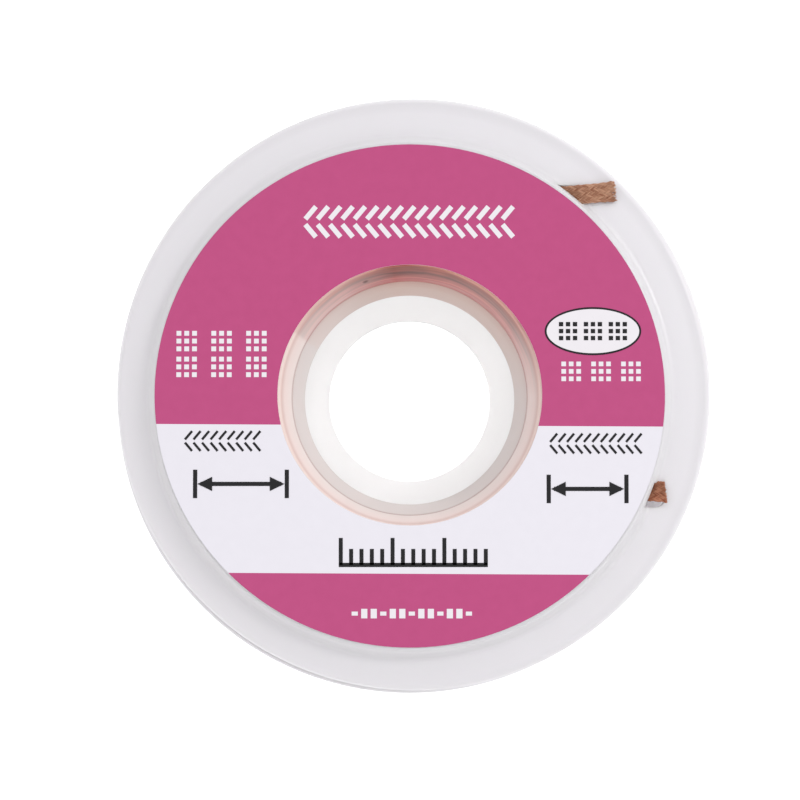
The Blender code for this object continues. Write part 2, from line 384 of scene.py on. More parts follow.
def on_ring(vert, radius, height):
    """True if the vertex lies on the ring of this radius and height, in millimetres."""
    off_radius = abs(vert.co.xy.length / MM - radius)
    off_height = abs(vert.co.z / MM - height)
    return off_radius < RING_TOLERANCE and off_height < RING_TOLERANCE


def bevel(shape, edges, offset, segments):
    """Rounds these edges by an offset in millimetres."""
    bmesh.ops.bevel(
        shape,
        geom=edges,
        offset=offset * MM,
        offset_type="OFFSET",
        affect="EDGES",
        segments=segments,
        profile=0.5,
        material=-1,
    )


def round_rings(shape, rings):
    """Rounds each ring given as (radius, height, rounding), in millimetres."""
    for radius, height, rounding in rings:
        ring = [edge for edge in shape.edges if all(on_ring(v, radius, height) for v in edge.verts)]
        bevel(shape, ring, rounding, ROUNDING_STEPS)


print("steps in a full turn:", TURN_STEPS)

# %% [markdown]
# ## Keeping a piece
# Each finished shape becomes an object that rides with the spool and stands for its CAD node. Faces
# are shaded smooth, and edges over 35 degrees stay sharp. A piece moulded in one shot can still
# look different from place to place, so a second helper gives some of its faces another material.

# %% Helpers: keep a piece, paint some of its faces
SHARP_ANGLE = 35


def keep(shape, name, material, slot, *nodes, sharp=SHARP_ANGLE):
    """Turns a bmesh into a finished piece that stands for these CAD nodes."""
    mesh = bpy.data.meshes.new(name)
    shape.to_mesh(mesh)
    shape.free()
    mesh.shade_smooth()
    mesh.set_sharp_from_angle(angle=math.radians(sharp))
    mesh.materials.append(material)
    piece = bpy.data.objects.new(name, mesh)
    bpy.context.scene.collection.objects.link(piece)
    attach(piece, "root")
    if nodes:
        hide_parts(*nodes)
    return piece


def paint(piece, material, belongs):
    """Adds a material to the faces whose (radius, height) in millimetres belongs to it."""
    piece.data.materials.append(material)
    for face in piece.data.polygons:
        if belongs(face.center.xy.length / MM, face.center.z / MM):
            face.material_index = len(piece.data.materials) - 1


print("sharp over", SHARP_ANGLE, "degrees")

# %% [markdown]
# ## The front flange
# The front half of the spool is one moulding: a flat raised disc for the label, a short step down
# to a thinner outer ring, and half of the hub. Moulded walls are even, about 1.1 mm, so the
# underside follows the top. The hub's bore narrows as it goes back, because a tapered wall leaves
# its mould easily. A ring spun from twelve corners gives all of it, and only the edges that a hand
# or the light would find are rounded. Cheap spools aren't perfect: on this one the outer ring sits
# about 0.6 mm off the hub's centre, towards the upper right, so a sliver of the rear rim shows at
# the lower left. The ring's vertices are moved by a growing share to match.

# %% Front flange: spin the section
PLATEAU = 25.72
STEP_FOOT = 26.4
STEP_WALL = 1.05
RIM = 30.0
RIM_SHIFT = (0.40, 0.42)
HUB = 14.0
SPIGOT = 12.75
BORE_MOUTH = 13.15
BORE_WAIST = 11.85
COPPER_SHOWS_WITHIN = 13.34
FRONT_SECTION = [
    (BORE_MOUTH, 10.0),
    (PLATEAU, 10.0),
    (STEP_FOOT, 8.6),
    (RIM, 8.2),
    (RIM, 7.1),
    (STEP_FOOT - STEP_WALL, 7.5),
    (PLATEAU - STEP_WALL, 8.8),
    (HUB, 8.8),
    (HUB, 7.4),
    (SPIGOT, 7.4),
    (SPIGOT, 6.2),
    (BORE_WAIST, 6.2),
]
FRONT_ROUNDINGS = [
    (BORE_MOUTH, 10.0, 0.2),
    (PLATEAU, 10.0, 0.22),
    (STEP_FOOT, 8.6, 0.4),
    (RIM, 8.2, 0.65),
    (RIM, 7.1, 0.35),
    (BORE_WAIST, 6.2, 0.12),
]
front = turn(FRONT_SECTION)
round_rings(front, FRONT_ROUNDINGS)
for vert in front.verts:
    share = min(max((vert.co.xy.length / MM - STEP_FOOT) / (RIM - 1 - STEP_FOOT), 0), 1)
    vert.co.xy += Vector(RIM_SHIFT) * MM * share
front_flange = keep(
    front, "front_flange_moulding", polypropylene, "milky_polypropylene", "front_flange"
)
paint(front_flange, upper_wall, lambda radius, height: radius < COPPER_SHOWS_WITHIN)
print("front flange:", len(front_flange.data.polygons), "faces")

# %% [markdown]
# ## The windows
# Each end of the braid leaves the winding through a small window at the foot of the step. In the
# mould a block closes off the opening, so its corners are rounded. Here the same block is cut out
# with a Boolean. It stops 0.8 mm below the disc's face, so a thin milky lip stays over each window,
# as on the real flange.

# %% Cut both windows
WINDOW_BOTTOM = 6.0
WINDOW_TOP = 9.2


def cut_away(piece, block):
    """Cuts the bmesh block out of the piece for good."""
    mesh = bpy.data.meshes.new("cutter")
    block.to_mesh(mesh)
    block.free()
    cutter = bpy.data.objects.new("cutter", mesh)
    bpy.context.scene.collection.objects.link(cutter)
    cut = piece.modifiers.new("window", "BOOLEAN")
    cut.object = cutter
    cut.operation = "DIFFERENCE"
    cut.solver = "EXACT"
    graph = bpy.context.evaluated_depsgraph_get()
    result = bpy.data.meshes.new_from_object(piece.evaluated_get(graph))
    piece.modifiers.clear()
    piece.data = result
    bpy.data.objects.remove(cutter)


def window_block(low_x, high_x, middle_y, width, rounding):
    """A block, in millimetres, with its upright edges on the rim's side rounded."""
    block = bmesh.new()
    sides = ((high_x - low_x) * MM, width * MM, (WINDOW_TOP - WINDOW_BOTTOM) * MM, 1)
    middle = Vector(((low_x + high_x) / 2, middle_y, (WINDOW_BOTTOM + WINDOW_TOP) / 2)) * MM
    matrix = Matrix.Translation(middle) @ Matrix.Diagonal(sides)
    bmesh.ops.create_cube(block, size=1, matrix=matrix)
    outer = [e for e in block.edges if all(v.co.x > (high_x - 0.01) * MM for v in e.verts)]
    upright = [e for e in outer if abs(e.verts[0].co.z - e.verts[1].co.z) > MM]
    bevel(block, upright, rounding, segments=6)
    return block


cut_away(front_flange, window_block(12.35, 17.85, middle_y=20.35, width=2.1, rounding=0.9))
cut_away(front_flange, window_block(21.7, 25.75, middle_y=-9.98, width=2.45, rounding=1.1))
front_flange.data.set_sharp_from_angle(angle=math.radians(SHARP_ANGLE))
print("with windows:", len(front_flange.data.polygons), "faces")

# %% [markdown]
# ## The rear flange
# The rear half mirrors the front on its outside and carries the rest of the hub. Its bore ends in a
# thin web with a round hole, which takes the peg of a dispenser. A thick hub wall would sink as it
# cools, so moulders core it out from behind, and that groove is in the outline too.

# %% Rear flange: spin the section
SOCKET = 12.85
HOLE = 8.3
WEB_EDGE = 10.8
CORED_WALL = 12.6
CORED_TO = 4.0
REAR_SECTION = [
    (HOLE, 0.0),
    (9.15, 0.0),
    (11.3, 2.0),
    (12.34, 5.0),
    (13.1, 5.0),
    (13.1, 0.0),
    (PLATEAU, 0.0),
    (STEP_FOOT, 1.4),
    (RIM, 1.8),
    (RIM, 2.9),
    (STEP_FOOT - STEP_WALL, 2.5),
    (PLATEAU - STEP_WALL, 1.2),
    (HUB, 1.2),
    (HUB, 7.3),
    (SOCKET, 7.3),
    (SOCKET, 6.1),
    (BORE_WAIST, 6.1),
    (10.75, 3.0),
    (HOLE, 1.0),
]
REAR_ROUNDINGS = [
    (HOLE, 1.0, 0.2),
    (HOLE, 0.0, 0.2),
    (BORE_WAIST, 6.1, 0.12),
    (PLATEAU, 0.0, 0.28),
    (RIM, 1.8, 0.4),
    (RIM, 2.9, 0.4),
]


def on_bore_wall(radius, height):
    """True for the wall between the web and the joint, and not for the groove behind it."""
    return WEB_EDGE < radius < CORED_WALL and height > CORED_TO


rear = turn(REAR_SECTION)
round_rings(rear, REAR_ROUNDINGS)
rear_flange = keep(
    rear, "rear_flange_moulding", polypropylene, "milky_polypropylene", "rear_flange"
)
paint(rear_flange, lower_wall, on_bore_wall)
paint(rear_flange, thin_polypropylene, lambda radius, height: radius < WEB_EDGE)
print("rear flange:", len(rear_flange.data.polygons), "faces")

# %% [markdown]
# ## Copper wire
# Desoldering braid is plaited from bare copper wires, each about 0.08 mm thick. Copper is a metal,
# so its colour is in its reflection and its index of refraction stays at the default. Fresh wire is
# salmon pink; the flux on it and the shade between wires turn it browner. Random Per Island gives
# each wire its own tone. The end that lies deep in its window has reddened a little more than the
# one in the open.

# %% Material: copper wire
FLUX_BROWN = "#835640"
STAIN_SCALE = 700.0  # stains of about 1.5 mm


def make_copper_wire(name, dark, bright):
    """Plaited copper, each wire with a tone between dark and bright."""
    material = blank(name)
    place = add(material, "ShaderNodeTexCoord").outputs["Object"]
    each = add(material, "ShaderNodeNewGeometry").outputs["Random Per Island"]
    tone = add(material, "ShaderNodeValToRGB", {"Fac": each})
    fill_ramp(tone, [(0.0, dark), (1.0, bright)])
    stain = add(material, "ShaderNodeTexNoise", {"Vector": place}, {"Scale": STAIN_SCALE, "Detail": 3.0})
    share = add(
        material,
        "ShaderNodeMapRange",
        {"Value": stain.outputs["Fac"]},
        {"From Min": 0.45, "From Max": 0.75, "To Min": 0.0, "To Max": 0.55},
    )
    colour = add(
        material,
        "ShaderNodeMix",
        {"Factor": share.outputs["Result"], 6: tone.outputs["Color"]},
        {7: linear(FLUX_BROWN)},
        data_type="RGBA",
    )
    shader = add(
        material,
        "ShaderNodeBsdfPrincipled",
        {"Base Color": colour.outputs[2]},
        {"Metallic": 0.8, "Roughness": 0.42},
    )
    add(material, "ShaderNodeOutputMaterial", {"Surface": shader.outputs["BSDF"]})
    return material


copper_wire = make_copper_wire("copper_wire_fluxed", "#9F6950", "#DBB094")
red_copper_wire = make_copper_wire("copper_wire_reddened", "#985840", "#DA9E80")
print("materials:", copper_wire.name, red_copper_wire.name)

# %% [markdown]
# ## How a flat braid is plaited
# A braiding machine lays sixteen bundles of wire into a tube. Eight run round it one way and eight
# the other, each passing over one bundle and under the next, and rollers press the tube flat. So
# each wire follows the flattened tube round and round as it moves along. The function below gives a
# wire's place across and through the braid for a distance along it. The wires are drawn 0.1 mm
# thick, a little thicker than the real ones, so that they show.

# %% Plait pattern
BRAID_WIDTH = 2.0
BUNDLES = 16
WIRES_PER_BUNDLE = 5
WIRE_RADIUS = 0.05
WIRE_SPACING = 0.1
LAY_LENGTH = 6.6
EDGE_SCALLOP = 0.03
FOLD = 0.985  # how flat the tube is pressed, where 1 is a sharp fold
FOLD_STEEPNESS = 4
LAYER_HEIGHT = 0.115
WEAVE_HEIGHT = 0.06


def plait(along, bundle, wire):
    """(across, through) in millimetres for a wire of a bundle, this far along the braid."""
    way = 1 if bundle % 2 else -1
    spread = (wire - (WIRES_PER_BUNDLE - 1) / 2) * WIRE_SPACING / (BRAID_WIDTH / math.pi)
    start = (bundle // 2) * math.tau / (BUNDLES / 2)
    turned = way * along / LAY_LENGTH * math.tau + start + spread
    scallop = EDGE_SCALLOP * math.sin(along * BUNDLES / LAY_LENGTH * math.tau / 2)
    half_width = BRAID_WIDTH / 2 - WIRE_RADIUS - EDGE_SCALLOP + scallop
    across = half_width * math.asin(math.cos(turned) * FOLD) / math.asin(FOLD)
    layer = math.tanh(FOLD_STEEPNESS * math.sin(turned))
    weave = way * WEAVE_HEIGHT * math.cos(BUNDLES / 2 * turned)
    return across, layer * (LAYER_HEIGHT + weave)


print("heights of one wire:", [round(plait(along, 1, 2)[1], 2) for along in (0, 1, 2, 3)])

# %% [markdown]
# ## Laying wires along a path
# A run of braid has a centre line and leans: it stands on edge on the coil and lies flat in its
# window. The path is given as a few stations and smoothed to short even steps. Each wire is then
# one spline of a curve with a round bevel, because a sweep along a path is what a curve is.

# %% Helpers: smooth a path and find its directions
PATH_STEP = 0.25
FINE_STEPS = 40


def smooth_curve(knots):
    """Close points on a smooth curve through the knots."""
    fine = []
    for i in range(len(knots) - 1):
        before, here = knots[max(i - 1, 0)], knots[i]
        there, after = knots[i + 1], knots[min(i + 2, len(knots) - 1)]
        for k in range(FINE_STEPS):
            t = k / FINE_STEPS
            square = (2 * before - 5 * here + 4 * there - after) * t**2
            cube = (3 * here - before - 3 * there + after) * t**3
            fine.append((2 * here + (there - before) * t + square + cube) / 2)
    fine.append(knots[-1])
    return fine


def smooth_path(stations):
    """Evenly spaced points and the length of a curve through (x, y, z, lean) stations."""
    fine = smooth_curve([Vector(station) for station in stations])
    lengths = [0.0]
    for one, other in zip(fine, fine[1:]):
        lengths.append(lengths[-1] + (other.xyz - one.xyz).length)
    count = max(2, round(lengths[-1] / PATH_STEP))
    even, at = [], 0
    for k in range(count + 1):
        target = lengths[-1] * k / count
        while at < len(lengths) - 2 and lengths[at + 1] < target:
            at += 1
        share = (target - lengths[at]) / (lengths[at + 1] - lengths[at])
        even.append(fine[at].lerp(fine[at + 1], share))
    return even, lengths[-1]


def frames_along(path):
    """(point, across, through) for each step, along the braid's width and its thickness."""
    frames = []
    for i, station in enumerate(path):
        ahead = (path[min(i + 1, len(path) - 1)] - path[max(i - 1, 0)]).xyz.normalized()
        side = Vector((0, 0, 1)).cross(ahead).normalized()
        upright = ahead.cross(side).normalized()
        lean = Matrix.Rotation(math.radians(station.w), 3, ahead)
        frames.append((station.xyz, lean @ upright, lean @ side))
    return frames


print("points on 10 mm of path:", len(smooth_path([(0, 0, 0, 0), (10, 0, 0, 90)])[0]))

# %% Helper: sweep the wires of a braid
RELAXED = 1.03  # the braid widens a little once it is off the coil
FLARE = 0.09
STRAY = 0.10
DROOP = 0.07
LOOSE_LENGTH = 2.0


def sweep_wires(name, wires):
    """A bmesh of round wires from lists of points in millimetres."""
    curve = bpy.data.curves.new(name, "CURVE")
    curve.dimensions = "3D"
    curve.bevel_depth = WIRE_RADIUS * MM
    curve.bevel_resolution = 0
    curve.use_fill_caps = True
    for points in wires:
        spline = curve.splines.new("POLY")
        spline.points.add(len(points) - 1)
        for place, point in zip(spline.points, points):
            place.co = (*(point * MM), 1)
    swept = bpy.data.objects.new(name, curve)
    bpy.context.scene.collection.objects.link(swept)
    graph = bpy.context.evaluated_depsgraph_get()
    shape = bmesh.new()
    shape.from_mesh(bpy.data.meshes.new_from_object(swept.evaluated_get(graph)))
    bpy.data.objects.remove(swept)
    bmesh.ops.recalc_face_normals(shape, faces=shape.faces)
    return shape


def lay_braid(name, stations, frayed, slant, material, *nodes):
    """Plaits a braid along the stations. At its cut the wires stop unevenly and spread."""
    chance = random.Random(name)
    path, length = smooth_path(stations)
    frames = frames_along(path)
    step = length / (len(path) - 1)
    wires = []
    for bundle in range(BUNDLES):
        for wire in range(WIRES_PER_BUNDLE):
            stop = length - frayed * chance.random() ** 1.5
            stray = chance.uniform(-1, 1) * STRAY
            droop = chance.uniform(-1, 1) * DROOP
            points = []
            for i, (point, across, through) in enumerate(frames):
                along = i * step
                a, t = plait(along, bundle, wire)
                loose = max(0.0, 1 - (length - along) / LOOSE_LENGTH) ** 1.5
                wider = a * (RELAXED + FLARE * loose) + stray * loose
                place = point + across * wider + through * (t + droop * loose)
                past_cut = along - (stop - slant * (0.5 - a / BRAID_WIDTH))
                if past_cut > 0:
                    points.append(points[-1].lerp(place, max(0.0, 1 - past_cut / step)))
                    break
                points.append(place)
            wires.append(points)
    shape = sweep_wires(name, wires)
    return keep(shape, name, material, "copper_braid", *nodes, sharp=180), length


print("wires in a braid:", BUNDLES * WIRES_PER_BUNDLE)

# %% [markdown]
# ## The free end
# The last turn leaves the coil near the top of the spool, rolls over from its edge to its flat,
# slips under the disc's lip and lies out on the ring. It was cut with scissors, so its wires end
# unevenly.

# %% Free end of the braid
LAST_TURN = 18.15
LAST_TURN_HEIGHT = 6.9
free_stations = []
for degrees in (150, 139.5, 129, 118.5, 108):
    angle = math.radians(degrees)
    on_coil = (LAST_TURN * math.cos(angle), LAST_TURN * math.sin(angle))
    free_stations.append((*on_coil, LAST_TURN_HEIGHT, 0))
free_stations += [
    (-2.0, 18.6, 7.1, 18),
    (2.2, 19.4, 7.5, 46),
    (6.4, 20.05, 7.95, 74),
    (10.4, 20.22, 8.2, 89),
    (13.8, 20.28, 8.3, 90),
    (16.0, 20.36, 8.62, 90),
    (17.3, 20.45, 8.9, 90),
    (19.0, 20.6, 8.86, 90),
    (20.92, 20.78, 8.76, 90),
]
free_end, free_length = lay_braid(
    "braid_free_end", free_stations, 0.55, 0.0, copper_wire, "braid_tail"
)
print("free end:", round(free_length, 1), "mm,", len(free_end.data.polygons), "faces")

# %% [markdown]
# ## The inner end
# Before winding starts, the first end of the braid is pushed through the second window, which stops
# it slipping. Only its cut tip shows beside the disc.

# %% Inner end of the braid
inner_stations = [
    (11.6, -9.56, 8.4, 90),
    (16.0, -9.56, 8.4, 90),
    (21.0, -9.56, 8.4, 90),
    (23.6, -9.58, 8.5, 90),
    (24.9, -9.62, 8.76, 90),
    (25.95, -9.66, 8.86, 90),
]
inner_end, inner_length = lay_braid(
    "braid_inner_end", inner_stations, 0.12, 0.35, red_copper_wire, "braid_start"
)
print("inner end:", round(inner_length, 1), "mm,", len(inner_end.data.polygons), "faces")

# %% [markdown]
# ## The weave of the wound braid
# Most of the fifteen turns are hidden, so their plait is drawn by a material and not modelled. Two
# sets of slanting bands cross on the coil's outside. Where the numbers of the two bands that meet
# add up to an even number one set lies on top, and elsewhere the other. A bundle is drawn 0.7 mm
# wide, and a whole number of bundles fits round the coil. The colour follows the height of the
# weave, so the low places between wires and bundles are painted shade and the tops are painted
# lighter, and noise adds stains.

# %% Material: wound braid
COIL_OUTSIDE = 17.7
BUNDLES_ROUND = 150
SLANT = 1.5
WOUND_STAIN_SCALE = 500.0  # stains of about 2 mm


def make_wound_braid():
    """Copper woven over and under, from the angle and height of each point of the coil, with painted shade
    where the weave lies low.
    """
    material = blank("copper_braid_wound")
    place = add(material, "ShaderNodeTexCoord").outputs["Object"]
    split = add(material, "ShaderNodeSeparateXYZ", {0: place})
    angle = add(
        material,
        "ShaderNodeMath",
        {0: split.outputs["Y"], 1: split.outputs["X"]},
        operation="ARCTAN2",
    )
    along = add(
        material,
        "ShaderNodeMath",
        {0: angle.outputs[0]},
        {1: BUNDLES_ROUND / math.tau},
        operation="MULTIPLY",
    )
    up = add(
        material,
        "ShaderNodeMath",
        {0: split.outputs["Z"]},
        {1: BUNDLES_ROUND / (math.tau * COIL_OUTSIDE * MM) * SLANT},
        operation="MULTIPLY",
    )
    bands, profiles = [], []
    for operation in ("ADD", "SUBTRACT"):
        way = add(material, "ShaderNodeMath", {0: along.outputs[0], 1: up.outputs[0]}, operation=operation)
        bands.append(add(material, "ShaderNodeMath", {0: way.outputs[0]}, operation="FLOOR"))
        bundle = add(material, "ShaderNodeMath", {0: way.outputs[0]}, {1: 0.5}, operation="PINGPONG")
        wires = add(
            material,
            "ShaderNodeMath",
            {0: way.outputs[0]},
            {1: 0.5 / WIRES_PER_BUNDLE},
            operation="PINGPONG",
        )
        profiles.append(
            add(
                material,
                "ShaderNodeMath",
                {0: wires.outputs[0], 1: bundle.outputs[0]},
                operation="ADD",
            )
        )
    crossing = add(
        material,
        "ShaderNodeMath",
        {0: bands[0].outputs[0], 1: bands[1].outputs[0]},
        operation="ADD",
    )
    over = add(material, "ShaderNodeMath", {0: crossing.outputs[0]}, {1: 1.0}, operation="PINGPONG")
    height = add(
        material,
        "ShaderNodeMix",
        {"Factor": over.outputs[0], 2: profiles[0].outputs[0], 3: profiles[1].outputs[0]},
        data_type="FLOAT",
    )
    stain = add(
        material,
        "ShaderNodeTexNoise",
        {"Vector": place},
        {"Scale": WOUND_STAIN_SCALE, "Detail": 3.0},
    )
    lift = add(
        material,
        "ShaderNodeMapRange",
        {"Value": stain.outputs["Fac"]},
        {"From Min": 0.3, "From Max": 0.7, "To Min": -0.12, "To Max": 0.16},
    )
    shade_and_stain = add(
        material,
        "ShaderNodeMath",
        {0: height.outputs[0], 1: lift.outputs["Result"]},
        operation="ADD",
    )
    # Painted shade: the ramp darkens the low places of the weave between wires and bundles and lightens
    # the tops; the noise adds stains.
    tone = add(material, "ShaderNodeValToRGB", {"Fac": shade_and_stain.outputs[0]})
    fill_ramp(tone, [(0.04, "#7A4A38"), (0.25, "#C08A70"), (0.6, "#E8BEA4")])
    bump = add(
        material,
        "ShaderNodeBump",
        {"Height": height.outputs[0]},
        {"Strength": 0.8, "Distance": 0.1 * MM},
    )
    shader = add(
        material,
        "ShaderNodeBsdfPrincipled",
        {"Base Color": tone.outputs["Color"], "Normal": bump.outputs["Normal"]},
        {"Metallic": 0.8, "Roughness": 0.45},
    )
    add(material, "ShaderNodeOutputMaterial", {"Surface": shader.outputs["BSDF"]})
    return material


wound_braid = make_wound_braid()
print("material:", wound_braid.name)

# %% [markdown]
# ## The wound coil
# Fifteen turns lie in three rows, five deep, each on its edge. The coil is one spun ring whose
# outline follows the edges of the turns: a groove after each row on its outside, and a groove after
# each layer on its ends.

# %% Coil: spin the section
ROWS = 3
LAYERS = 5
ROW_PITCH = 2.2
LAYER_PITCH = 0.7
COIL_INSIDE = 14.2
COIL_BOTTOM = 1.4
GROOVE = 0.3
layer_starts = [COIL_INSIDE + layer * LAYER_PITCH for layer in range(LAYERS)]
coil_section = [(COIL_INSIDE, COIL_BOTTOM)]
for r in layer_starts:
    coil_section += [(r + 0.08, 1.42), (r + 0.62, 1.42), (r + LAYER_PITCH, 1.62)]
coil_section[-1] = (17.5, 1.5)
for row in range(ROWS):
    z = COIL_BOTTOM + row * ROW_PITCH
    coil_section += [(COIL_OUTSIDE, z + GROOVE), (COIL_OUTSIDE, z + ROW_PITCH - GROOVE)]
    if row < ROWS - 1:
        coil_section.append((COIL_OUTSIDE - GROOVE, z + ROW_PITCH))
for r in reversed(layer_starts):
    coil_section += [(r + LAYER_PITCH, 7.78), (r + 0.62, 7.98), (r + 0.08, 7.98)]
coil_section[-3 * LAYERS] = (17.5, 7.9)
coil_section.append((COIL_INSIDE, 7.95))
coil = keep(turn(coil_section), "braid_winding", wound_braid, "copper_braid", "braid_coil")
print("coil:", len(coil.data.polygons), "faces")

# %% [markdown]
# ## Print on film
# The label is polypropylene film with a satin coat, printed by screen in pink, white and black. Ink
# and film share one recipe: two close tones, mixed by fine noise, and a very faint ripple.

# %% Material: printed label
MOTTLE_SCALE = 900.0  # mottle of about 1 mm
RIPPLE_SCALE = 2500.0  # ripple of about 0.4 mm


def make_print(name, colour, other_colour):
    """Satin print that varies a little between two tones."""
    material = blank(name)
    place = add(material, "ShaderNodeTexCoord").outputs["Object"]
    mottle = add(
        material, "ShaderNodeTexNoise", {"Vector": place}, {"Scale": MOTTLE_SCALE, "Detail": 3.0}
    )
    tone = add(material, "ShaderNodeValToRGB", {"Fac": mottle.outputs["Fac"]})
    fill_ramp(tone, [(0.0, other_colour), (1.0, colour)])
    ripple = add(
        material, "ShaderNodeTexNoise", {"Vector": place}, {"Scale": RIPPLE_SCALE, "Detail": 1.0}
    )
    bump = add(
        material,
        "ShaderNodeBump",
        {"Height": ripple.outputs["Fac"]},
        {"Strength": 0.05, "Distance": 0.05 * MM},
    )
    shader = add(
        material,
        "ShaderNodeBsdfPrincipled",
        {"Base Color": tone.outputs["Color"], "Normal": bump.outputs["Normal"]},
        {"Roughness": 0.32, "IOR": 1.5, "Specular IOR Level": 0.3},
    )
    add(material, "ShaderNodeOutputMaterial", {"Surface": shader.outputs["BSDF"]})
    return material


pink_ink = make_print("label_film_pink", "#BC4B7F", "#B54679")
white_film = make_print("label_film_white", "#E5E2EA", "#E1DEE6")
black_ink = make_print("label_ink_black", "#17161A", "#0F0E12")
white_ink = make_print("label_ink_white", "#E8E4E9", "#E3DFE4")
print("materials:", pink_ink.name, white_film.name, black_ink.name, white_ink.name)

# %% [markdown]
# ## The label
# The label is a ring, pink with a white band across it. The two edges of the band are cut into the
# mesh with bisect_plane and the pink is painted face by face, so the edges stay sharp at any
# distance. The real label isn't quite round or central, so the ring is stretched and moved a hair.

# %% Label: spin, cut the colour fields
LABEL_TOP = 10.2
LABEL_BOTTOM = 10.01
LABEL_INSIDE = 13.2
LABEL_OUTSIDE = 25.45
LABEL_STRETCH = (1.006, 0.994, 1)
LABEL_SHIFT = (0, 0.06 * MM, 0)
BAND_TURN = math.radians(-0.3)
BAND_LIMITS = (-3.1, -18.05)
LABEL_SECTION = [
    (LABEL_INSIDE, LABEL_BOTTOM),
    (LABEL_OUTSIDE, LABEL_BOTTOM),
    (LABEL_OUTSIDE, LABEL_TOP),
    (LABEL_INSIDE, LABEL_TOP),
]
label_shape = turn(LABEL_SECTION)
across_band = Vector((-math.sin(BAND_TURN), math.cos(BAND_TURN), 0))
for limit in BAND_LIMITS:
    bmesh.ops.bisect_plane(
        label_shape,
        geom=label_shape.verts[:] + label_shape.edges[:] + label_shape.faces[:],
        plane_co=across_band * limit * MM,
        plane_no=across_band,
        dist=WELD * MM,
    )
for face in label_shape.faces:
    up_label = face.calc_center_median().dot(across_band) / MM
    on_top = face.normal.z > 0.9
    in_band = BAND_LIMITS[1] < up_label < BAND_LIMITS[0]
    face.material_index = 1 if on_top and not in_band else 0
bmesh.ops.scale(label_shape, vec=LABEL_STRETCH, verts=label_shape.verts)
bmesh.ops.translate(label_shape, vec=LABEL_SHIFT, verts=label_shape.verts)
label = keep(label_shape, "printed_label", white_film, "printed_label", "label")
label.data.materials.append(pink_ink)
print("label:", len(label.data.polygons), "faces")

# %% [markdown]
# ## The marks on the label
# The label carries plain marks only: strips of leaning bars like a plait, squares of dots, two
# dimension arrows, a ruler's scale and a row of dashes. Each mark is built from very thin blocks, a
# few hundredths of a millimetre high, as thick ink from a screen is.

# %% Helpers: printed bars, dots, arrows and plaits
INK = 0.02
DOT_SHARE = 0.62


def printed(x, y, wide, high, lean, layers):
    """The matrix that puts a shape of size 1 on the label, in millimetres and degrees."""
    place = Matrix.Translation(Vector((x, y, LABEL_TOP + layers * INK / 2)) * MM)
    size = Matrix.Diagonal((wide * MM, high * MM, layers * INK * MM, 1))
    return place @ Matrix.Rotation(math.radians(lean), 4, "Z") @ size


def bar(shape, x, y, length, width, lean=0.0, layers=1):
    """Adds a bar centred at x, y."""
    bmesh.ops.create_cube(shape, size=1, matrix=printed(x, y, length, width, lean, layers))


def spot(shape, x, y, wide, high, sides=64, lean=0.0, layers=1):
    """Adds an ellipse, or a triangle if it has three sides."""
    bmesh.ops.create_cone(
        shape,
        cap_ends=True,
        segments=sides,
        radius1=1,
        radius2=1,
        depth=1,
        matrix=printed(x, y, wide / 2, high / 2, lean, layers),
    )


def dotted_square(shape, x, y, size, layers=1):
    """Adds a square of three by three dots."""
    pitch = size / 3
    dot = pitch * DOT_SHARE
    for column in (-1, 0, 1):
        for row in (-1, 0, 1):
            bar(shape, x + column * pitch, y + row * pitch, dot, dot, layers=layers)


def arrow(shape, left, right, y, head, line):
    """Adds a dimension arrow: a line with a head and a stop bar at both ends."""
    bar(shape, (left + right) / 2, y, right - left - head, line)
    for end, inward in ((left, 1), (right, -1)):
        tip = end + inward * (head * 0.67 + line)
        spot(shape, tip, y, head * 1.1, head * 1.3, sides=3, lean=90 * inward, layers=2)
        bar(shape, end + inward * line / 2, y, line, head * 1.9)


def plait_strip(shape, left, right, y, high, line, pitch):
    """Adds a strip of bars that lean towards each other, like the strands of a plait."""
    count = round((right - left) / pitch)
    for i in range(count):
        x = left + (i + 0.5) * (right - left) / count
        for side in (-1, 1):
            bar(shape, x, y + side * (high / 4 + line * 0.32), high * 0.55, line, side * 50)


print("ink:", INK, "mm thick")

# %% White marks
DASHES = 13
DASH_PITCH = 0.95
white_marks = bmesh.new()
plait_strip(white_marks, -10.6, 10.5, 17.5, high=3.0, line=0.5, pitch=1.25)
for row in (5.45, 2.85):
    for x in (-22.4, -18.9, -15.4):
        dotted_square(white_marks, x, row, 2.35)
for x in (16.2, 19.2, 22.2):
    dotted_square(white_marks, x, 2.4, 2.25)
for i in range(DASHES):
    bar(white_marks, -5.5 + i * DASH_PITCH, -21.85, 0.62, 0.95 if i % 3 else 0.4)
spot(white_marks, 18.4, 6.45, 9.3, 4.45, layers=2)
whites = keep(white_marks, "label_marks_white", white_ink, "printed_label")
print("white marks:", len(whites.data.polygons), "faces")

# %% Black marks
RULER_LENGTH = 14.5
RULER_LINES = 15
RULER_Y = -17.0
RULER_INK = 0.4
black_marks = bmesh.new()
spot(black_marks, 18.4, 6.45, 9.7, 4.85)
for x in (15.9, 18.4, 20.9):
    dotted_square(black_marks, x, 6.45, 2.1, layers=3)
plait_strip(black_marks, -22.6, -14.9, -4.6, high=2.0, line=0.24, pitch=0.85)
plait_strip(black_marks, 14.0, 23.3, -4.85, high=2.0, line=0.24, pitch=0.85)
arrow(black_marks, -21.7, -12.1, -8.9, head=1.5, line=0.42)
arrow(black_marks, 13.7, 21.9, -9.4, head=1.5, line=0.42)
bar(black_marks, 0.35, RULER_Y, 14.9, 0.42)
for i in range(RULER_LINES):
    high = 2.7 if i % 5 == 0 else 1.6
    x = -6.9 + i * RULER_LENGTH / (RULER_LINES - 1)
    bar(black_marks, x, RULER_Y + high / 2, RULER_INK, high)
blacks = keep(black_marks, "label_marks_black", black_ink, "printed_label")
print("black marks:", len(blacks.data.polygons), "faces")

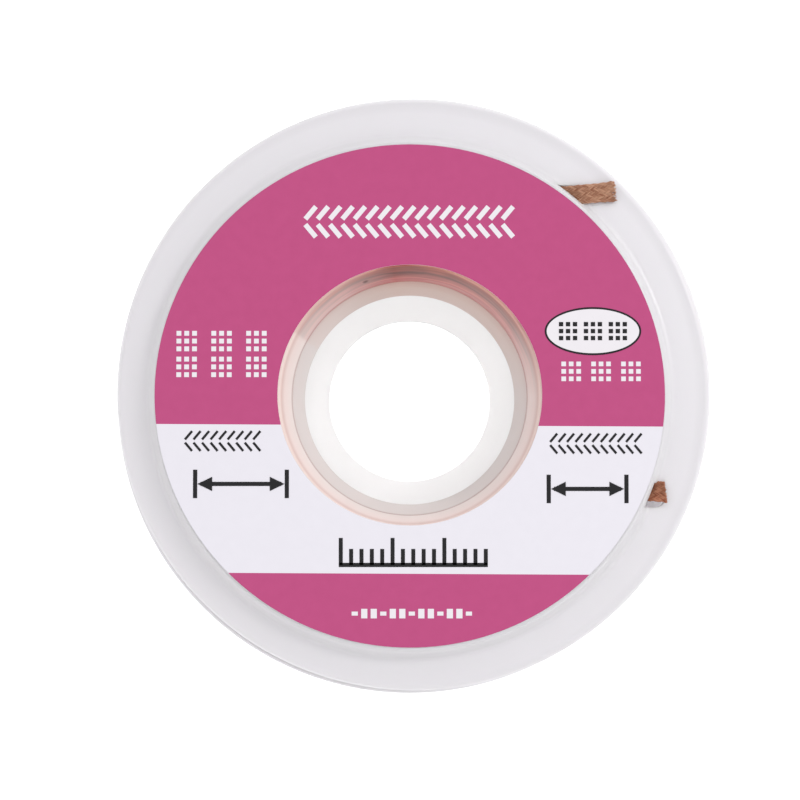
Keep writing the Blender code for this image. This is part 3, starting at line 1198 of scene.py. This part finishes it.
# %% [markdown]
# ## The floor
# The spool lies on a plain pale floor. The floor glows a little, as a light table does, and most
# under the hub, where its lamp is, so the thin web there looks white. The pad over the lamp is
# grey, and so adds little to its own light.

# %% Floor
FLOOR_GLOW = 0.4
PAD_GLOW = 1.24
PAD_RADIUS = 12.0
PAD_FADES_BY = 13.5
FLOOR_SIZE = 2.0
FLOOR_DROP = 0.02  # keeps the floor clear of the spool's rear face


def make_floor_paint():
    """Matt pale paint with a glow, stronger on the pad."""
    material = blank("pale_floor")
    place = add(material, "ShaderNodeTexCoord").outputs["Object"]
    away = add(material, "ShaderNodeVectorMath", {0: place}, operation="LENGTH")
    off_pad = add(
        material,
        "ShaderNodeMapRange",
        {"Value": away.outputs["Value"]},
        {"From Min": PAD_RADIUS * MM, "From Max": PAD_FADES_BY * MM},
    )
    glow = add(
        material,
        "ShaderNodeMapRange",
        {"Value": off_pad.outputs["Result"]},
        {"To Min": PAD_GLOW, "To Max": FLOOR_GLOW},
    )
    colour = add(
        material,
        "ShaderNodeMix",
        {"Factor": off_pad.outputs["Result"]},
        {6: linear("#7C7C7C"), 7: linear("#FCFCFC")},
        data_type="RGBA",
    )
    shader = add(
        material,
        "ShaderNodeBsdfPrincipled",
        {"Base Color": colour.outputs[2], "Emission Strength": glow.outputs["Result"]},
        {"Roughness": 0.9, "Emission Color": linear("#FFFFFF")},
    )
    add(material, "ShaderNodeOutputMaterial", {"Surface": shader.outputs["BSDF"]})
    return material


floor_shape = bmesh.new()
bmesh.ops.create_grid(floor_shape, x_segments=1, y_segments=1, size=FLOOR_SIZE)
floor_mesh = bpy.data.meshes.new("floor")
floor_shape.to_mesh(floor_mesh)
floor_shape.free()
floor_mesh.materials.append(make_floor_paint())
floor = bpy.data.objects.new("floor", floor_mesh)
floor.location.z = -FLOOR_DROP * MM
bpy.context.scene.collection.objects.link(floor)
print("floor:", 2 * FLOOR_SIZE, "m wide")

# %% [markdown]
# ## The light
# A product shot like this has soft light from all round. An even pale surround gives most of it,
# and one panel on the right gives the faint shadows a direction.

# %% Lights
SURROUND_STRENGTH = 0.965
KEY_PLACE = (0.487, 0.259, 0.43)
KEY_SIZE = 0.17
KEY_WATTS = 1.2
key_data = bpy.data.lights.new("key_panel", "AREA")
key_data.size = KEY_SIZE
key_data.energy = KEY_WATTS
key = bpy.data.objects.new("key_panel", key_data)
key.location = KEY_PLACE
key.rotation_euler = (-Vector(KEY_PLACE)).to_track_quat("-Z", "Y").to_euler()
bpy.context.scene.collection.objects.link(key)
world = bpy.data.worlds.new("studio")
world.use_nodes = True
surround = world.node_tree.nodes["Background"]
surround.inputs["Color"].default_value = linear("#FFFFFF")
surround.inputs["Strength"].default_value = SURROUND_STRENGTH
bpy.context.scene.world = world
bpy.context.scene.view_settings.view_transform = "Standard"
print("key panel:", round(key.location.length, 2), "m away")

# %% [markdown]
# ## The camera
# The camera hangs 300 mm above, almost straight over the spool. Its lens is worked out from the
# scale of the photograph.

# %% Camera
DISTANCE = 300.0
ELEVATION = math.radians(86.3)
IMAGE_WIDTH = 800
SCALE = 9.97  # image pixels for a millimetre at the label
SENSOR = 36.0
camera_data = bpy.data.cameras.new("camera")
camera = bpy.data.objects.new("camera", camera_data)
bpy.context.scene.collection.objects.link(camera)
bpy.context.scene.camera = camera
target = Vector((-0.98, -0.48, LABEL_TOP)) * MM
line_of_sight = Vector((0, -math.cos(ELEVATION), math.sin(ELEVATION)))
camera.location = target + line_of_sight * DISTANCE * MM
camera.rotation_euler = (target - camera.location).to_track_quat("-Z", "Y").to_euler()
camera_data.sensor_width = SENSOR
camera_data.sensor_height = SENSOR
camera_data.sensor_fit = "HORIZONTAL"
camera_data.lens = SENSOR * DISTANCE / (IMAGE_WIDTH / SCALE)
camera_data.clip_start = 0.01
camera_data.clip_end = 20
print("lens:", round(camera_data.lens, 1), "mm")
